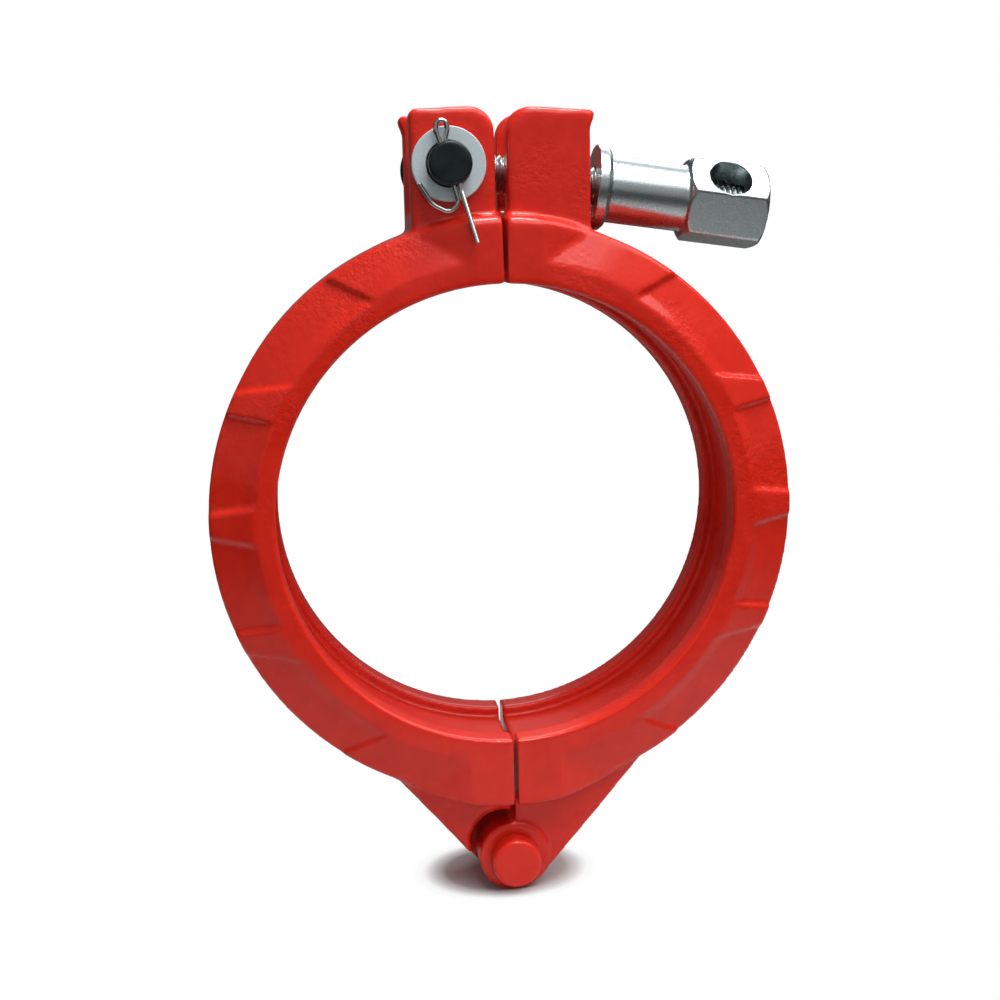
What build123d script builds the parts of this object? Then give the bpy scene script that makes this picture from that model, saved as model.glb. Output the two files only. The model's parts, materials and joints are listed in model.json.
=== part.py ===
from build123d import *
from math import acos, atan2, cos, degrees, hypot, radians, sin, tan
import os

os.makedirs("parts", exist_ok=True)

# Millimetres. The pipe runs along Y, the clamp opens at the top and hinges at the bottom.
# The front faces -Y, and the origin is the middle of the pipe bore.

# Pipe joint: two raised collars meet in the groove, with their seal between them
collar_diameter = 148.0
collar_clearance = 0.2
collar_grip = 3.4
groove_half_width = 13.5

# Ring section
half_width = 23.0
band_wall = 3.3
cone_run = 12.9
cone_fall = 5.0
crease_round = 5.0
rim_round = 1.6
lip_round = 0.7
groove_round = 0.8
split_clearance = 0.65

# End blocks beside the two splits
block_slant = 17.5
upper_block_rise = 0.6
upper_block_end = 42.0
upper_block_flat = 11.5
upper_block_round = 3.0
lower_block_rise = 2.0
lower_block_end = 50.0
lower_block_flat = 14.0
lower_block_round = 1.6
block_inner = 60.0

# Fork lugs at the top
lug_clearance = 1.8
lug_outer = 27.3
lug_rise = 33.4
lug_slope = 3.5
lug_half_width = 17.0
lug_inner_round = 7.5
lug_outer_round = 2.5
lug_edge_round = 1.1
lug_sink = 12.0
notch_depth = 1.0
notch_height = 3.0
fork_half_gap = 8.5
fork_floor_rise = 1.7
beak_reach = 1.8
beak_drop = 0.7
beak_height = 5.6
beak_round = 1.2

# Raised pads between shallow recesses in both faces; each edge is two angles in degrees
recess_depth = 1.3
recess_run = 2.3
recess_inner_overlap = 1.2
recess_round = 2.4
pad_middle = (4.1, 2.2)
pad_near = (23.7, 21.8)
pad_far = (32.3, 26.0)
pad_end = (59.3, 53.9)
pad_edge_overrun = 0.6

# Hinge at the bottom
hinge_below_rim = 21.3
hinge_pin_diameter = 10.0
boss_radius = 11.2
knuckle_half_width = 15.3
knuckle_gap = 0.2
knuckle_room = 0.6
recess_shift_x = 3.5
recess_shift_z = 4.5
recess_radius = 10.4
web_half_width = 14.0
web_front_rise = 4.1
web_front_angle = 66.3
web_front_margin = 0.6
web_rear_rise = 2.6
web_rear_angle = 69.2
web_rear_margin = -0.9
web_sink = 7.0
hinge_head_diameter = 15.5
hinge_head_height = 6.8
hinge_head_round = 1.4
hinge_head_clearance = 0.2

# Clevis pin, its washer and its split pin
clevis_x = -15.9
clevis_rise = 15.6
clevis_diameter = 13.0
clevis_front = 25.0
clevis_head_diameter = 24.0
clevis_head_height = 4.0
clevis_edge_round = 1.0
washer_diameter = 22.2
washer_thickness = 2.5
washer_bore_clearance = 0.3
cotter_wire = 1.5
cotter_spread = 0.82
cotter_tilt = 17.0
cotter_lean = 4.6
cotter_set_back = 3.6
cotter_hole_clearance = 0.15
cotter_long_leg = 24.6
cotter_long_leg_lean = 0.7
cotter_lean_start = 8.0
cotter_neck = 6.9
cotter_loop_right = (2.5, 9.6)
cotter_loop_top_right = (2.6, 12.2)
cotter_loop_top_left = (0.3, 12.8)
cotter_loop_left = (-1.0, 10.4)
cotter_bend_right = (-1.0, -11.9)
cotter_bend_low = (-4.6, -13.6)
cotter_bend_left = (-8.6, -9.9)
cotter_short_end = (-10.5, -2.9)
cotter_bend_radii = [8.0, 2.0, 2.0, 1.25, 1.25, 2.0, 3.0, 2.0, 2.8, 5.0]

# Eye bolt and nut
running_clearance = 0.08
bolt_diameter = 12.0
bolt_length = 99.5
bolt_droop = 7.5
bolt_chamfer = 1.5
eye_diameter = 20.5
eye_side_clearance = 0.5
thrust_start = 46.8
thrust_diameter = 26.4
thrust_thickness = 4.4
thrust_chamfer = 1.3
thrust_bore_clearance = 0.3
nut_seat_gap = 0.05
sleeve_diameter = 20.8
sleeve_length = 25.0
hex_across_flats = 24.0
hex_length = 25.4
hex_chamfer = 1.5
bar_hole_diameter = 13.4
bar_hole_turn = 40.0

seat_radius = collar_diameter / 2 + collar_clearance
lip_radius = collar_diameter / 2 - collar_grip
band_radius = seat_radius + band_wall
rim_radius = band_radius + cone_run
rim_half_width = half_width - cone_fall
clevis_z = rim_radius + clevis_rise
lug_top = rim_radius + lug_rise
lug_root = rim_radius - lug_sink
hinge_drop = rim_radius + hinge_below_rim
clevis_hole_radius = clevis_diameter / 2 + running_clearance
fork_floor = rim_radius + fork_floor_rise
reach = 4 * rim_radius
tolerance = 1e-3


def polar(radius, angle):
    """Point at a radius and an angle in degrees."""
    return (radius * cos(radians(angle)), radius * sin(radians(angle)))


def mirrored(points):
    """Profile points of the y > 0 side, continued over to the y < 0 side."""
    return points + [(r, -y) for r, y in reversed(points)]


def rounded(face, corners, radius):
    """The face with the corners at the given points rounded."""
    chosen = [v for v in face.vertices() if any(hypot(v.X - x, v.Y - y) < tolerance for x, y in corners)]
    return fillet(chosen, radius)


def upright(sketch, front, rear):
    """A sketch in X and Z made solid from y = front to y = rear."""
    return Pos(0, rear, 0) * extrude(Plane.XZ * sketch, amount=rear - front)


def across(radius, front, rear, x=0.0, z=0.0):
    """A cylinder along Y from y = front to y = rear."""
    return upright(Pos(x, z) * Circle(radius), front, rear)


def ring():
    """The plain ring, flat beside the bore and sloping back to the rim."""
    corner_band = (band_radius, half_width)
    corner_rim = (rim_radius, rim_half_width)
    points = mirrored([(block_inner, half_width), corner_band, corner_rim])
    profile = make_face(Polyline(*points, close=True))
    profile = rounded(profile, mirrored([corner_band]), crease_round)
    profile = rounded(profile, mirrored([corner_rim]), rim_round)
    return revolve(profile, Axis.Y)


def bore_void():
    """The space of the pipes and of their collars, with the seal between these."""
    mouth = (lip_radius, half_width)
    lip = (lip_radius, groove_half_width)
    seat = (seat_radius, groove_half_width)
    outside = 2 * half_width
    flare = lip_radius + 3 * lip_round
    points = [(0, outside), (flare, outside), (flare, half_width), mouth, lip, seat]
    profile = make_face(Polyline(*mirrored(points), close=True))
    profile = rounded(profile, mirrored([mouth]), lip_round)
    profile = rounded(profile, mirrored([lip, seat]), groove_round)
    return revolve(profile, Axis.Y)


def end_block(rise, end, flat, round_over):
    """The block beside the upper split: a top arc that runs out into the rim, and faces in line with the bands."""
    top = rim_radius + rise
    cosine = (1 - (end / rim_radius) ** 2) ** 0.5
    height = (top ** 2 - rim_radius ** 2) / (2 * (top - rim_radius * cosine))
    radius = top - height
    outline = Pos(0, height) * Circle(radius)
    outline &= Pos(end / 2, block_inner + reach / 2) * Rectangle(end, reach)
    slanted = half_width - (end - flat) * tan(radians(block_slant))
    side = [(0, half_width), (flat, half_width), (end, slanted)]
    plan = make_face(Polyline(*mirrored(side), close=True))
    block = upright(outline, -half_width, half_width) & extrude(plan, amount=reach)

    def on_top(edge):
        ends = (edge @ 0, edge @ 0.5, edge @ 1)
        return all(abs(hypot(p.X, p.Z - height) - radius) < tolerance for p in ends)

    edges = [edge for edge in block.edges() if on_top(edge) and abs((edge @ 0.5).Y) > 1]
    return fillet(edges, round_over)


def lug():
    """The forked lug over the upper split."""
    top_outer = lug_top - (lug_outer - lug_clearance) * tan(radians(lug_slope))
    inner_corner = (lug_clearance, lug_top)
    outer_corner = (lug_outer, top_outer)
    notch_bottom = rim_radius + upper_block_rise - notch_depth
    points = [
        (split_clearance, lug_root),
        (split_clearance, notch_bottom),
        (lug_clearance, notch_bottom + notch_height),
        inner_corner,
        outer_corner,
        (lug_outer, lug_root),
    ]
    outline = make_face(Polyline(*points, close=True))
    outline = rounded(outline, [inner_corner], lug_inner_round)
    outline = rounded(outline, [outer_corner], lug_outer_round)
    body = upright(outline, -lug_half_width, lug_half_width)
    outer_faces = body.faces().sort_by(Axis.Y)
    edges = [edge for face in (outer_faces[0], outer_faces[-1]) for edge in face.edges()]
    body = fillet([edge for edge in edges if (edge @ 0.5).Z > notch_bottom + notch_height], lug_edge_round)
    tip = (lug_outer + beak_reach, top_outer - beak_drop)
    beak_points = [
        (lug_outer - lug_outer_round, top_outer),
        (lug_outer, top_outer),
        tip,
        (lug_outer, top_outer - beak_height),
        (lug_outer - lug_outer_round, top_outer - beak_height),
    ]
    beak = make_face(Polyline(*beak_points, close=True))
    beak = rounded(beak, [tip], beak_round)
    return body + upright(beak, lug_edge_round - lug_half_width, -fork_half_gap)


def web_outline(rise, angle, margin, foot):
    """The triangle from the ring down to the hinge, its edge passing the boss at a margin."""
    root = Vector(*polar(rim_radius + rise, -angle))
    centre = Vector(0, -hinge_drop)
    arm = root - centre
    clear = boss_radius + margin
    turn = degrees(atan2(arm.Y, arm.X)) - degrees(acos(clear / arm.length))
    touch = centre + Vector(*polar(clear, turn))
    sunk = root + (root - touch).normalized() * web_sink
    points = [(split_clearance, -lug_root), (sunk.X, sunk.Y), (touch.X, touch.Y), (split_clearance, foot)]
    return make_face(Polyline(*points, close=True))


def hinge_web():
    """The web and the front knuckle, cleared at the rear for the other half's knuckle."""
    front_outline = web_outline(web_front_rise, web_front_angle, web_front_margin, -hinge_drop - boss_radius)
    front = upright(front_outline, -web_half_width, -knuckle_gap)
    rear_outline = web_outline(web_rear_rise, web_rear_angle, web_rear_margin, -hinge_drop)
    rear = upright(rear_outline, -knuckle_gap, web_half_width)
    rear -= across(boss_radius + knuckle_room, -knuckle_gap, knuckle_half_width, z=-hinge_drop)
    rear -= across(recess_radius, -knuckle_gap, knuckle_half_width, recess_shift_x, recess_shift_z - hinge_drop)
    return front + rear + across(boss_radius, -knuckle_half_width, -knuckle_gap, z=-hinge_drop)


def recess_band():
    """The material that the recesses take out of both faces, all round, from the crease out past the rim."""
    slope = cone_fall / cone_run

    def floor_height(radius):
        return half_width - (radius - band_radius) * slope - recess_depth

    outside = rim_radius + recess_run
    inner = (band_radius - recess_inner_overlap, half_width)
    foot = (band_radius + recess_run, floor_height(band_radius + recess_run))
    above = half_width + recess_depth
    points = [inner, foot, (outside, floor_height(outside)), (outside, above), (inner[0], above)]
    profile = make_face(Polyline(*points, close=True))
    front = revolve(rounded(profile, [foot], recess_round), Axis.Y)
    return front + mirror(front, Plane.XZ)


def recess_window(start, end):
    """A prism that leaves one recess of the band, between two slanted pad edges."""
    def side(angles):
        inner = Vector(*polar(band_radius, angles[0]))
        outer = Vector(*polar(rim_radius, angles[1]))
        step = (outer - inner) * pad_edge_overrun
        return inner - step, outer + step

    first, second = side(start)
    fourth, third = side(end)
    points = [(p.X, p.Y) for p in (first, second, third, fourth)]
    return upright(make_face(Polyline(*points, close=True)), -reach, reach)


def recesses():
    """All recesses of the right half, in both faces."""
    band = recess_band()
    upper = [recess_window(pad_middle, pad_near), recess_window(pad_far, pad_end)]
    return [band & window for window in upper + [mirror(window, Plane.XY) for window in upper]]


def casting():
    """The half ring that both halves are made from, as it lies on the right."""
    half_space = Pos(split_clearance + reach / 2, 0, 0) * Box(reach, reach, reach)
    upper_block = end_block(upper_block_rise, upper_block_end, upper_block_flat, upper_block_round)
    lower_block = end_block(lower_block_rise, lower_block_end, lower_block_flat, lower_block_round)
    body = (ring() + upper_block + mirror(lower_block, Plane.XY)) & half_space
    body += lug()
    body += hinge_web()
    body -= bore_void()
    for recess in recesses():
        body -= recess
    slot = Pos(0, fork_floor + reach / 2) * Rectangle(reach, reach)
    body -= upright(slot, -fork_half_gap, fork_half_gap)
    return body - across(hinge_pin_diameter / 2 + running_clearance, -half_width, half_width, z=-hinge_drop)


def left_half(blank):
    """The casting turned round and drilled for the clevis pin."""
    turned = blank.rotate(Axis.Z, 180)
    return turned - across(clevis_hole_radius, -half_width, half_width, clevis_x, clevis_z)


def hinge_pin():
    """Round pin with a flat head at each end."""
    seat = knuckle_half_width + hinge_head_clearance
    end = seat + hinge_head_height
    shank = across(hinge_pin_diameter / 2, -end, end, z=-hinge_drop)
    front_head = across(hinge_head_diameter / 2, -end, -seat, z=-hinge_drop)
    front_head = fillet(front_head.faces().sort_by(Axis.Y)[0].edges(), hinge_head_round)
    rear_head = mirror(front_head, Plane.XZ)
    return shank + front_head + rear_head


def cotter_plane():
    """Middle of the split pin's hole along Y."""
    return -(clevis_front - cotter_set_back)


def clevis_pin():
    """Headed pin with its cross hole just in front of the washer."""
    half_gap = lug_half_width
    shank = across(clevis_diameter / 2, -clevis_front, half_gap, clevis_x, clevis_z)
    shank = fillet(shank.faces().sort_by(Axis.Y)[0].edges(), clevis_edge_round)
    head = across(clevis_head_diameter / 2, half_gap, half_gap + clevis_head_height, clevis_x, clevis_z)
    head = fillet(head.faces().sort_by(Axis.Y)[-1].edges(), clevis_edge_round)
    hole_radius = cotter_spread + cotter_wire / 2 + cotter_hole_clearance
    hole = Rot(0, -cotter_tilt, 0) * Cylinder(hole_radius, 2 * clevis_diameter)
    return shank + head - Pos(clevis_x, cotter_plane(), clevis_z) * hole


def clevis_washer():
    """Flat washer between the left fork and the split pin."""
    outer = across(washer_diameter / 2, -lug_half_width - washer_thickness, -lug_half_width, clevis_x, clevis_z)
    bore = clevis_diameter / 2 + washer_bore_clearance
    return outer - across(bore, -half_width, -fork_half_gap, clevis_x, clevis_z)


def cotter_pin():
    """Split pin of one wire: straight leg, loop, and the leg bent round the washer."""
    leg = cotter_spread
    bends = [cotter_loop_right, cotter_loop_top_right, cotter_loop_top_left, cotter_loop_left]
    short_leg = [cotter_bend_right, cotter_bend_low, cotter_bend_left, cotter_short_end]
    flat = [(leg, cotter_neck), *bends, (-leg, cotter_neck), *short_leg]
    points = [(leg - cotter_long_leg_lean, -cotter_lean, -cotter_long_leg), (leg, 0, -cotter_lean_start)]
    points += [(x, 0, z) for x, z in flat]
    path = FilletPolyline(*points, radius=cotter_bend_radii)
    start = Plane(path @ 0, z_dir=path % 0)
    wire = sweep(start * Circle(cotter_wire / 2), path)
    return Pos(clevis_x, cotter_plane(), clevis_z) * Rot(0, -cotter_tilt, 0) * wire


def along(profile):
    """A profile of distance and radius turned about the bolt's axis, before it droops."""
    return revolve(make_face(Polyline(*profile, close=True)), Axis.X)


def drooped(solid):
    """A solid of the bolt's own frame, placed on the clevis pin."""
    return Pos(clevis_x, 0, clevis_z) * Rot(0, bolt_droop, 0) * solid


def eye_bolt():
    """Bolt with an eye that swings on the clevis pin."""
    eye_half = fork_half_gap - eye_side_clearance
    eye = across(eye_diameter / 2, -eye_half, eye_half)
    radius = bolt_diameter / 2
    shank = along([(0, 0), (0, radius), (bolt_length - bolt_chamfer, radius),
                   (bolt_length, radius - bolt_chamfer), (bolt_length, 0)])
    return drooped(eye + shank - across(clevis_hole_radius, -half_width, half_width))


def thrust_washer():
    """Thick washer, chamfered towards the nut."""
    bore = bolt_diameter / 2 + thrust_bore_clearance
    outer = thrust_diameter / 2
    end = thrust_start + thrust_thickness
    profile = [(thrust_start, bore), (thrust_start, outer), (end - thrust_chamfer, outer),
               (end, outer - thrust_chamfer), (end, bore)]
    return drooped(along(profile))


def sleeve_nut():
    """Long nut: round sleeve, hexagon and a cross hole for a bar."""
    bore = bolt_diameter / 2 + running_clearance
    start = thrust_start + thrust_thickness + nut_seat_gap
    hex_start = start + sleeve_length
    end = hex_start + hex_length
    flat = hex_across_flats / 2
    point = flat / cos(radians(30))
    sleeve = along([(start, bore), (start, sleeve_diameter / 2), (hex_start, sleeve_diameter / 2),
                    (hex_start, bore)])
    hexagon = Plane.YZ * RegularPolygon(flat, 6, major_radius=False, rotation=30 - bar_hole_turn)
    prism = Pos(hex_start, 0, 0) * extrude(hexagon, amount=hex_length)
    turned = along([(hex_start, bore), (hex_start, flat), (hex_start + hex_chamfer, point),
                    (end - hex_chamfer, point), (end, flat), (end, bore)])
    middle = (hex_start + end) / 2
    bar_hole = Pos(middle, 0, 0) * Rot(90 - bar_hole_turn, 0, 0) * Cylinder(bar_hole_diameter / 2, 2 * point)
    return drooped(sleeve + (prism & turned) - bar_hole)


blank = casting()
parts = {
    "left_half": left_half(blank),
    "right_half": blank,
    "hinge_pin": hinge_pin(),
    "clevis_pin": clevis_pin(),
    "clevis_washer": clevis_washer(),
    "cotter_pin": cotter_pin(),
    "eye_bolt": eye_bolt(),
    "thrust_washer": thrust_washer(),
    "sleeve_nut": sleeve_nut(),
}
for name, solid in parts.items():
    export_step(solid, f"parts/{name}.step")
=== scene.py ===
import bmesh
import bpy
import json
from math import cos, pi, radians, sin
from mathutils import Matrix, Vector


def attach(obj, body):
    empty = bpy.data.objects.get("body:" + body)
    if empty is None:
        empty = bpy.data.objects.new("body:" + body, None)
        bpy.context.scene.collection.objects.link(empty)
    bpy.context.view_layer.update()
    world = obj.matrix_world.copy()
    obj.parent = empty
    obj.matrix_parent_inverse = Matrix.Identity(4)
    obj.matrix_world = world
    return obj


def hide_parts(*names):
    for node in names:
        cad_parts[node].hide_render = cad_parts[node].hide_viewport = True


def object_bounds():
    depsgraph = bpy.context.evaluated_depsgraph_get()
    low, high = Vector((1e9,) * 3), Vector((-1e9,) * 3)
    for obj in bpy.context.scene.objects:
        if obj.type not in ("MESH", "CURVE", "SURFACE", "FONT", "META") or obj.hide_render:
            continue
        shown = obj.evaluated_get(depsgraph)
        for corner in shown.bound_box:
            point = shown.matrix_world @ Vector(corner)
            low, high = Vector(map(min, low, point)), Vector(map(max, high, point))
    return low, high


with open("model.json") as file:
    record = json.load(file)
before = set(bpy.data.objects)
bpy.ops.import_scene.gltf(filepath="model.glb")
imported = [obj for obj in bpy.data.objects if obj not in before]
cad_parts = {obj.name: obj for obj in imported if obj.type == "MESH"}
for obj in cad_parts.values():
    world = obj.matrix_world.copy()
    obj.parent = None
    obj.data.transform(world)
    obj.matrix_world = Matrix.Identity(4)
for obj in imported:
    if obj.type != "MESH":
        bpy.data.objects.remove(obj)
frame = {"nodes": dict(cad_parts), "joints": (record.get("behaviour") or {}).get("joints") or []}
cad_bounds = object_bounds()

# Metres, in the frame of the clamp: the pipe runs along Y, and the front faces -Y.
MM = 0.001

# Where the moving parts turn and run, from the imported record
JOINTS = {joint["name"]: joint for joint in frame["joints"]}
CLEVIS = Vector(JOINTS["bolt_swing"]["pos_m"])
BOLT_AXIS = Vector(JOINTS["nut_travel"]["axis"])
HINGE = Vector(JOINTS["half_hinge"]["pos_m"])

# For each solid: its body, its material slot, the size of its remeshed cells in millimetres and the
# rounds of smoothing. Cell and rounds set how round casting, forging and paint leave its edges.
EDGES = {
    "left_half": ("fixed_half", "red_paint", 0.74, 2),
    "right_half": ("opening_half", "red_paint", 0.74, 2),
    "hinge_pin": ("fixed_half", "red_paint", 0.4, 4),
    "clevis_pin": ("fixed_half", "black_steel", 0.35, 3),
    "clevis_washer": ("fixed_half", "zinc_washer", 0.25, 2),
    "cotter_pin": ("fixed_half", "bright_wire", 0.13, 4),
    "eye_bolt": ("swing_bolt", "zinc_plate", 0.4, 3),
    "thrust_washer": ("nut_washer", "zinc_plate", 0.3, 2),
    "sleeve_nut": ("nut", "zinc_plate", 0.35, 3),
}
# How far each round moves a point towards the middle of its neighbours
SMOOTHING = 0.5
# A solid's mesh comes as loose triangles, so corners closer than this are merged first
CAD_MERGE = 0.002 * MM

# The halves are one casting: the left one is the right one turned round, so its sides change sign.
CASTINGS = {"left_half": -1, "right_half": 1}

# Bolt thread, M12 with a 1.75 mm pitch, along the whole shank. The profile gives the share of the
# pitch and the radius at each corner.
THREAD_CREST = 6.0 * MM
THREAD_ROOT = 4.95 * MM
THREAD_PITCH = 1.75 * MM
THREAD_START = 14.2 * MM
THREAD_TURNS = 47
THREAD_STEPS = 40
THREAD_PROFILE = ((0.0, THREAD_ROOT), (0.42, THREAD_CREST), (0.56, THREAD_CREST),
                  (0.97, THREAD_ROOT), (1.0, THREAD_ROOT))
THREAD_MERGE = 0.005 * MM

# The photograph's viewpoint, fitted to the ring's circles, the lugs and the hinge pin
CAMERA_SPOT = Vector((-59.61, -480.39, 78.92)) * MM
CAMERA_YAW, CAMERA_PITCH, CAMERA_ROLL = radians(9.94), radians(8.37), radians(-0.79)
CAMERA_SENSOR = 36.0
CAMERA_LENS = 55.14
CAMERA_SHIFT = (-0.077, -0.02)
CAMERA_CLIP = 0.01

# Softboxes: where each hangs and how large it is, in metres, and its watts. All face the bore's middle.
SOFTBOXES = {
    "top softbox": ((0.1, -0.14, 1.1), (0.36, 0.22), 9.5),
    "front softbox": ((0.55, -0.62, 1.2), (1.8, 0.9), 18.5),
    "rear softbox": ((0.4, 0.9, 0.9), (1.2, 0.8), 8.0),
}

# The floor: half its side; its paper's grey, which the camera sees only in an oval round the foot,
# painted shade there under the clamp's real shadow, and which also sets the light thrown up near the
# foot; how far that oval of painted shade reaches from the foot before the paper is white to the
# camera, how much shorter it is to the front and rear; and between which distances the light that it
# throws up on the clamp falls off
FLOOR_REACH = 6.0
FLOOR_GREY_AND_PAINTED_SHADE = 0.55
SHADOW_CENTRE = (HINGE.x - 1 * MM, HINGE.y + 3 * MM, cad_bounds[0].z)
SHADOW_EDGE = (0.021, 0.028)
SHADOW_SHORTER = 1.12
BOUNCE_FADE = (0.16, 0.42)
BOUNCE_FAR = 0.05


def hex_colour(code):
    """An sRGB colour written in hex, as linear values."""
    parts = [int(code[i:i + 2], 16) / 255 for i in (0, 2, 4)]
    linear = [c / 12.92 if c <= 0.04045 else ((c + 0.055) / 1.055) ** 2.4 for c in parts]
    return (*linear, 1.0)


def grey(value):
    """A neutral linear colour."""
    return (value, value, value, 1.0)


def add(tree, kind, inputs=None, stops=(), **settings):
    """A shader node with its settings. Each input is a value, or a node or socket to link to it, and
    the stops are a colour ramp's positions and colours."""
    made = tree.nodes.new(kind)
    for name, value in settings.items():
        setattr(made, name, value)
    for name, value in (inputs or {}).items():
        if isinstance(value, bpy.types.Node):
            value = value.outputs[0]
        if isinstance(value, bpy.types.NodeSocket):
            tree.links.new(value, made.inputs[name])
        else:
            made.inputs[name].default_value = value
    if stops:
        elements = made.color_ramp.elements
        while len(elements) < len(stops):
            elements.new(0.5)
        for element, (position, colour) in zip(elements, stops):
            element.position, element.color = position, colour
    return made


def new_material(name):
    """An empty node material, its tree and its piece's own coordinates."""
    made = bpy.data.materials.new(name)
    made.use_nodes = True
    tree = made.node_tree
    tree.nodes.clear()
    place = add(tree, "ShaderNodeTexCoord").outputs["Object"]
    return made, tree, place


def surfaced(made, tree, inputs):
    """The material with one shader that has the given inputs."""
    shader = add(tree, "ShaderNodeBsdfPrincipled", inputs)
    add(tree, "ShaderNodeOutputMaterial", {"Surface": shader})
    return made


def red_enamel():
    """Enamel sprayed over an iron casting: glossy red, slightly uneven in tone, smooth in some places
    and crinkled in others by the marks of the sand mould beneath."""
    made, tree, place = new_material("red enamel on cast iron")
    lumps = add(tree, "ShaderNodeTexNoise", {"Vector": place, "Scale": 1 / (9 * MM), "Detail": 3.0,
                                             "Roughness": 0.6})
    colour = add(tree, "ShaderNodeValToRGB", {"Fac": lumps},
                 [(0.3, hex_colour("CE2010")), (0.7, hex_colour("DA2816"))])
    # Sand marks, drawn as coarse as 1.7 mm so that they show, in patches about 30 mm across
    patches = add(tree, "ShaderNodeTexNoise", {"Vector": place, "Scale": 1 / (30 * MM), "Detail": 1.0,
                                               "Roughness": 0.5})
    crinkled = add(tree, "ShaderNodeValToRGB", {"Fac": patches}, [(0.5, grey(0.2)), (0.6, grey(1.0))])
    grain = add(tree, "ShaderNodeTexNoise", {"Vector": place, "Scale": 1 / (1.7 * MM), "Detail": 3.0,
                                             "Roughness": 0.6})
    cast = add(tree, "ShaderNodeBump", {"Height": grain, "Distance": 0.4 * MM, "Strength": crinkled})
    # The orange peel that spraying leaves, 6 mm across
    peel = add(tree, "ShaderNodeTexNoise", {"Vector": place, "Scale": 1 / (6 * MM), "Detail": 1.0,
                                            "Roughness": 0.4})
    sprayed = add(tree, "ShaderNodeBump", {"Height": peel, "Distance": 0.08 * MM, "Strength": 0.5,
                                           "Normal": cast})
    dull = add(tree, "ShaderNodeValToRGB", {"Fac": lumps}, [(0.3, grey(0.3)), (0.7, grey(0.36))])
    return surfaced(made, tree, {
        "Base Color": colour, "Roughness": dull, "Normal": sprayed, "IOR": 1.5,
        "Specular IOR Level": 0.15, "Coat Weight": 0.42, "Coat Roughness": 0.1})


def black_oxide():
    """Blackened steel: near black and slightly cold, an oily satin."""
    made, tree, place = new_material("black oxide steel")
    lumps = add(tree, "ShaderNodeTexNoise", {"Vector": place, "Scale": 1 / (4 * MM), "Detail": 3.0,
                                             "Roughness": 0.6})
    colour = add(tree, "ShaderNodeValToRGB", {"Fac": lumps},
                 [(0.3, hex_colour("10191B")), (0.7, hex_colour("1F2B2D"))])
    # The fine unevenness of the blacking, drawn as coarse as 0.9 mm so that it shows
    grain = add(tree, "ShaderNodeTexNoise", {"Vector": place, "Scale": 1 / (0.9 * MM), "Detail": 2.0,
                                             "Roughness": 0.5})
    uneven = add(tree, "ShaderNodeBump", {"Height": grain, "Distance": 0.05 * MM, "Strength": 0.5})
    return surfaced(made, tree, {
        "Base Color": colour, "Normal": uneven, "Metallic": 0.55, "Roughness": 0.42})


def zinc_washer():
    """Dull zinc plating on a stamped washer: pale blue grey, fine grained and matt."""
    made, tree, place = new_material("dull zinc plate")
    grain = add(tree, "ShaderNodeTexNoise", {"Vector": place, "Scale": 1 / (0.7 * MM), "Detail": 3.0,
                                             "Roughness": 0.7})
    colour = add(tree, "ShaderNodeValToRGB", {"Fac": grain},
                 [(0.25, hex_colour("C6D5DB")), (0.75, hex_colour("D8E4E8"))])
    stamped = add(tree, "ShaderNodeBump", {"Height": grain, "Distance": 0.01 * MM, "Strength": 0.5})
    return surfaced(made, tree, {
        "Base Color": colour, "Normal": stamped, "Metallic": 0.35, "Roughness": 0.5})


def zinc_plate():
    """Bright zinc plating on turned and forged steel: silver with a cold tint, finely clouded."""
    made, tree, place = new_material("bright zinc plate")
    clouds = add(tree, "ShaderNodeTexNoise", {"Vector": place, "Scale": 1 / (0.6 * MM), "Detail": 3.0,
                                              "Roughness": 0.65})
    colour = add(tree, "ShaderNodeValToRGB", {"Fac": clouds},
                 [(0.3, hex_colour("A6B0B1")), (0.7, hex_colour("BCC5C6"))])
    grain = add(tree, "ShaderNodeTexNoise", {"Vector": place, "Scale": 1 / (0.4 * MM), "Detail": 2.0,
                                             "Roughness": 0.6})
    plated = add(tree, "ShaderNodeBump", {"Height": grain, "Distance": 0.012 * MM, "Strength": 0.5})
    dull = add(tree, "ShaderNodeValToRGB", {"Fac": clouds}, [(0.3, grey(0.32)), (0.7, grey(0.26))])
    return surfaced(made, tree, {
        "Base Color": colour, "Roughness": dull, "Normal": plated, "Metallic": 1.0})


def bright_wire():
    """Drawn steel wire: bright, with faint marks half a millimetre apart."""
    made, tree, place = new_material("drawn steel wire")
    marks = add(tree, "ShaderNodeTexNoise", {"Vector": place, "Scale": 1 / (0.5 * MM), "Detail": 3.0,
                                             "Roughness": 0.7})
    colour = add(tree, "ShaderNodeValToRGB", {"Fac": marks},
                 [(0.3, hex_colour("9C9C9A")), (0.7, hex_colour("C4C4C2"))])
    drawn = add(tree, "ShaderNodeBump", {"Height": marks, "Distance": 0.004 * MM, "Strength": 0.4})
    return surfaced(made, tree, {
        "Base Color": colour, "Normal": drawn, "Metallic": 1.0, "Roughness": 0.18})


def placed(name, data):
    """A new object of the scene, at the origin."""
    made = bpy.data.objects.new(name, data)
    bpy.context.scene.collection.objects.link(made)
    return made


def applied(piece):
    """The piece with its modifiers taken into its mesh."""
    evaluated = piece.evaluated_get(bpy.context.evaluated_depsgraph_get())
    made = bpy.data.meshes.new_from_object(evaluated)
    piece.modifiers.clear()
    piece.vertex_groups.clear()
    piece.data = made


def settled(piece, body, replaced):
    """The piece with smooth shading, hung on its body, with the solids that it replaces hidden."""
    for polygon in piece.data.polygons:
        polygon.use_smooth = True
    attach(piece, body)
    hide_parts(*replaced)
    return piece


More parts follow.
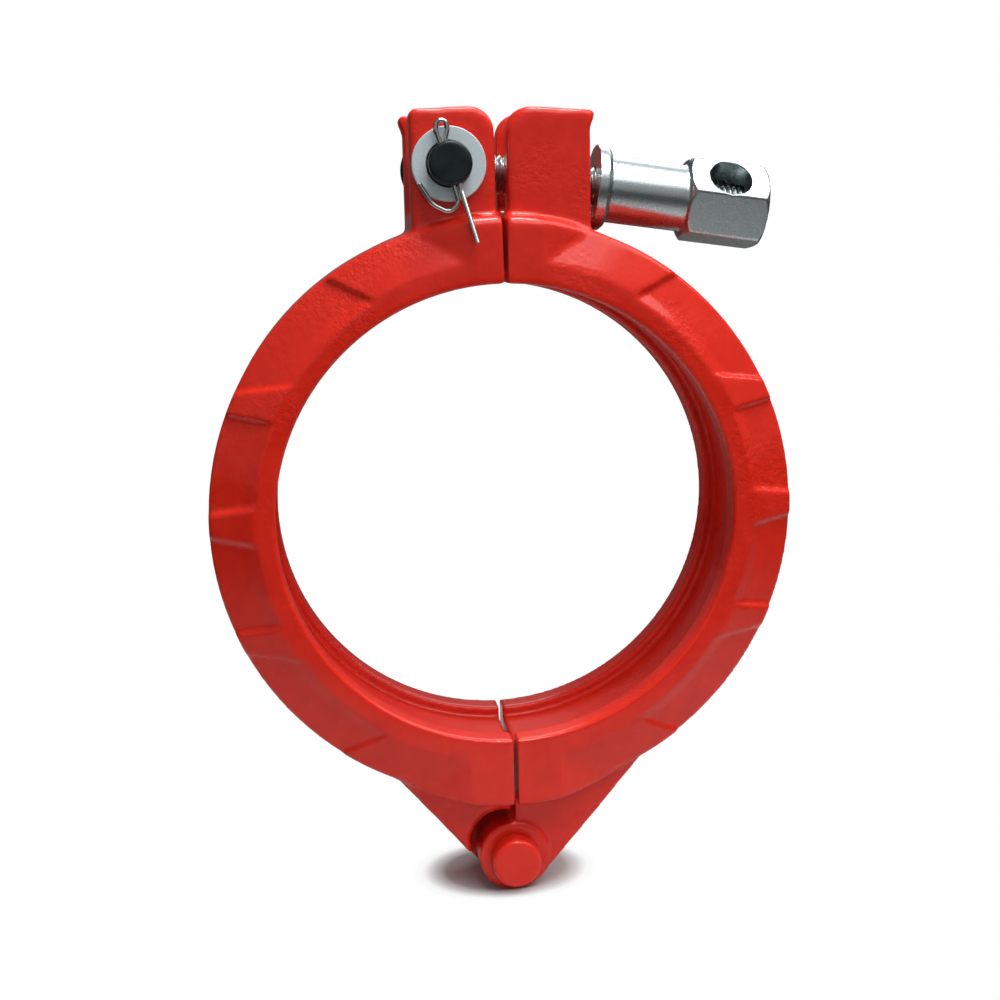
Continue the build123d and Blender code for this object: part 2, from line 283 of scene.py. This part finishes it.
def soft_edged(node, finishes):
    """A solid's own shape with soft edges, in the finish of its slot."""
    body, slot, cell, rounds = EDGES[node]
    mesh = frame["nodes"][node].data.copy()
    bm = bmesh.new()
    bm.from_mesh(mesh)
    bmesh.ops.remove_doubles(bm, verts=bm.verts, dist=CAD_MERGE)
    bm.to_mesh(mesh)
    bm.free()
    piece = placed(node + "_finished", mesh)
    cells = piece.modifiers.new("cells", "REMESH")
    cells.mode = "VOXEL"
    cells.voxel_size = cell * MM
    soft = piece.modifiers.new("soft", "SMOOTH")
    soft.factor = SMOOTHING
    soft.iterations = rounds
    applied(piece)
    piece.data.materials.clear()
    piece.data.materials.append(finishes[slot])
    return settled(piece, body, [node])


def casting_fillets(side):
    """Where a half ring's casting has wide fillets: the centre and reach of each, in millimetres, and
    its rounds of smoothing."""
    lug_root = ((side * 28, 0, 87), 22, 16)
    web_root = ((side * 40, 0, -86), 20, 18)
    knuckle_recess = ((side * 9, side * 14, -103), 13, 30)
    recess_corner = ((side * 11, side * 13, -114), 6, 80)
    fork_tips = [((side * 10, y, 124), 16, 24) for y in (-17, 17)]
    end_block_tops = [((side * 4, y, 90), 11, 14) for y in (-23, 23)]
    return [lug_root, web_root, knuckle_recess, recess_corner, *fork_tips, *end_block_tops]


def filleted(casting, fillets):
    """The casting smoothed again round each fillet's centre, in full within half its reach."""
    for number, (centre, reach, rounds) in enumerate(fillets):
        group = casting.vertex_groups.new(name=f"fillet {number}")
        for vertex in casting.data.vertices:
            near = 1 - (vertex.co - Vector(centre) * MM).length / (reach * MM)
            if near > 0:
                group.add([vertex.index], min(1.0, 2 * near), "REPLACE")
        smooth = casting.modifiers.new(f"fillet {number}", "SMOOTH")
        smooth.vertex_group = group.name
        smooth.factor = SMOOTHING
        smooth.iterations = rounds
    applied(casting)


def thread(material):
    """The bolt's thread: one profile wound along the shank."""
    across = BOLT_AXIS.cross(Vector((0, 1, 0))).normalized()
    start = CLEVIS + THREAD_START * BOLT_AXIS
    bm = bmesh.new()
    points = [bm.verts.new(start + share * THREAD_PITCH * BOLT_AXIS + radius * across)
              for share, radius in THREAD_PROFILE]
    lines = [bm.edges.new(pair) for pair in zip(points, points[1:])]
    bmesh.ops.spin(bm, geom=points + lines, cent=CLEVIS, axis=BOLT_AXIS,
                   dvec=BOLT_AXIS * THREAD_PITCH / THREAD_STEPS, angle=2 * pi * THREAD_TURNS,
                   steps=THREAD_TURNS * THREAD_STEPS)
    bmesh.ops.remove_doubles(bm, verts=bm.verts, dist=THREAD_MERGE)
    bmesh.ops.recalc_face_normals(bm, faces=bm.faces)
    mesh = bpy.data.meshes.new("eye_bolt_thread")
    bm.to_mesh(mesh)
    bm.free()
    mesh.materials.append(material)
    settled(placed("eye_bolt_thread", mesh), "swing_bolt", [])


def thinned_to_root(bolt):
    """The bolt's plain shank taken down to the root of the thread that is wound round it."""
    for vertex in bolt.data.vertices:
        offset = vertex.co - CLEVIS
        distance = offset.dot(BOLT_AXIS)
        away = offset - distance * BOLT_AXIS
        if distance > THREAD_START and away.length > THREAD_ROOT:
            vertex.co -= away * (1 - THREAD_ROOT / away.length)


def photo_camera():
    """A camera at the photograph's viewpoint."""
    ahead = Vector((sin(CAMERA_YAW) * cos(CAMERA_PITCH), cos(CAMERA_YAW) * cos(CAMERA_PITCH),
                    -sin(CAMERA_PITCH)))
    level = Vector((cos(CAMERA_YAW), -sin(CAMERA_YAW), 0))
    above = level.cross(ahead)
    right = cos(CAMERA_ROLL) * level + sin(CAMERA_ROLL) * above
    up = cos(CAMERA_ROLL) * above - sin(CAMERA_ROLL) * level
    data = bpy.data.cameras.new("photo camera")
    data.sensor_width = CAMERA_SENSOR
    data.lens = CAMERA_LENS
    data.shift_x, data.shift_y = CAMERA_SHIFT
    data.clip_start = CAMERA_CLIP
    camera = placed("photo camera", data)
    turned = Matrix((right, up, -ahead)).transposed().to_4x4()
    camera.matrix_world = Matrix.Translation(CAMERA_SPOT) @ turned
    bpy.context.scene.camera = camera


def studio_surround():
    """White to the camera. To all other rays it is a grey room, lighter at the front and dim behind,
    because a white one makes the enamel pale."""
    world = bpy.data.worlds.new("studio")
    bpy.context.scene.world = world
    world.use_nodes = True
    tree = world.node_tree
    tree.nodes.clear()
    path = add(tree, "ShaderNodeLightPath")
    seen = add(tree, "ShaderNodeMath", {0: path.outputs["Is Camera Ray"],
                                        1: path.outputs["Is Transmission Ray"]}, operation="MAXIMUM")
    way = add(tree, "ShaderNodeTexCoord").outputs["Generated"]
    depth = add(tree, "ShaderNodeSeparateXYZ", {"Vector": way}).outputs["Y"]
    back = add(tree, "ShaderNodeMapRange", {"Value": depth, "From Min": -1.0, "From Max": 1.0})
    room = add(tree, "ShaderNodeValToRGB", {"Fac": back},
               [(0.0, grey(0.42)), (0.5, grey(0.2)), (0.9, grey(0.1))])
    dim = add(tree, "ShaderNodeBackground", {"Color": room, "Strength": 1.0})
    white = add(tree, "ShaderNodeBackground", {"Color": grey(1.0), "Strength": 1.0})
    mixed = add(tree, "ShaderNodeMixShader", {0: seen, 1: dim, 2: white})
    add(tree, "ShaderNodeOutputWorld", {"Surface": mixed})


def white_paper():
    """White paper to the camera, except in an oval round the foot painted grey as shade, on which the
    clamp's real shadow also falls; and grey for the light that it throws up on the clamp, which fades
    away from the foot."""
    made, tree, place = new_material("white paper floor")
    path = add(tree, "ShaderNodeLightPath")
    seen = add(tree, "ShaderNodeMath", {0: path.outputs["Is Camera Ray"],
                                        1: path.outputs["Is Transmission Ray"]}, operation="MAXIMUM")
    offset = add(tree, "ShaderNodeVectorMath", {0: place, 1: SHADOW_CENTRE}, operation="SUBTRACT")
    away = add(tree, "ShaderNodeVectorMath", {0: offset}, operation="LENGTH").outputs["Value"]
    oval = add(tree, "ShaderNodeVectorMath", {0: offset, 1: (1.0, SHADOW_SHORTER, 1.0)},
               operation="MULTIPLY")
    reach = add(tree, "ShaderNodeVectorMath", {0: oval}, operation="LENGTH").outputs["Value"]
    inner, outer = SHADOW_EDGE
    beyond = add(tree, "ShaderNodeValToRGB", {"Fac": reach}, [(inner, grey(0.0)), (outer, grey(1.0))])
    close, distant = BOUNCE_FADE
    fading = add(tree, "ShaderNodeValToRGB", {"Fac": away},
                 [(close, grey(FLOOR_GREY_AND_PAINTED_SHADE)), (distant, grey(BOUNCE_FAR))])
    bounce = add(tree, "ShaderNodeBsdfDiffuse", {"Color": fading})
    # Painted shade: the grey paper that the camera sees inside the oval round the foot, under the real
    # shadow
    paper = add(tree, "ShaderNodeBsdfDiffuse", {"Color": grey(FLOOR_GREY_AND_PAINTED_SHADE)})
    lit = add(tree, "ShaderNodeMixShader", {0: seen, 1: bounce, 2: paper})
    white = add(tree, "ShaderNodeEmission", {"Color": grey(1.0), "Strength": 1.0})
    # Beyond the oval of painted shade the floor is white to the camera
    bright = add(tree, "ShaderNodeMath", {0: seen, 1: beyond}, operation="MULTIPLY")
    mixed = add(tree, "ShaderNodeMixShader", {0: bright, 1: lit, 2: white})
    add(tree, "ShaderNodeOutputMaterial", {"Surface": mixed})
    return made


def studio():
    """Pale floor, white surround and soft lamps."""
    bpy.context.scene.view_settings.view_transform = "Standard"
    studio_surround()
    for name, (spot, size, watts) in SOFTBOXES.items():
        data = bpy.data.lights.new(name, "AREA")
        data.shape = "RECTANGLE"
        data.size, data.size_y = size
        data.energy = watts
        lamp = placed(name, data)
        lamp.location = spot
        lamp.rotation_euler = (-Vector(spot)).to_track_quat("-Z", "Y").to_euler()
        lamp.visible_camera = False
    mesh = bpy.data.meshes.new("floor")
    bm = bmesh.new()
    bmesh.ops.create_grid(bm, x_segments=1, y_segments=1, size=FLOOR_REACH)
    bmesh.ops.translate(bm, verts=bm.verts, vec=(0, 0, cad_bounds[0].z))
    bm.to_mesh(mesh)
    bm.free()
    mesh.materials.append(white_paper())
    placed("floor", mesh)


def clamp():
    """The clamp's nine solids in their finishes, and the bolt's thread."""
    finishes = {"red_paint": red_enamel(), "black_steel": black_oxide(), "zinc_washer": zinc_washer(),
                "zinc_plate": zinc_plate(), "bright_wire": bright_wire()}
    for node in EDGES:
        piece = soft_edged(node, finishes)
        if node in CASTINGS:
            filleted(piece, casting_fillets(CASTINGS[node]))
        if node == "eye_bolt":
            thinned_to_root(piece)
            thread(finishes["zinc_plate"])


clamp()
photo_camera()
studio()
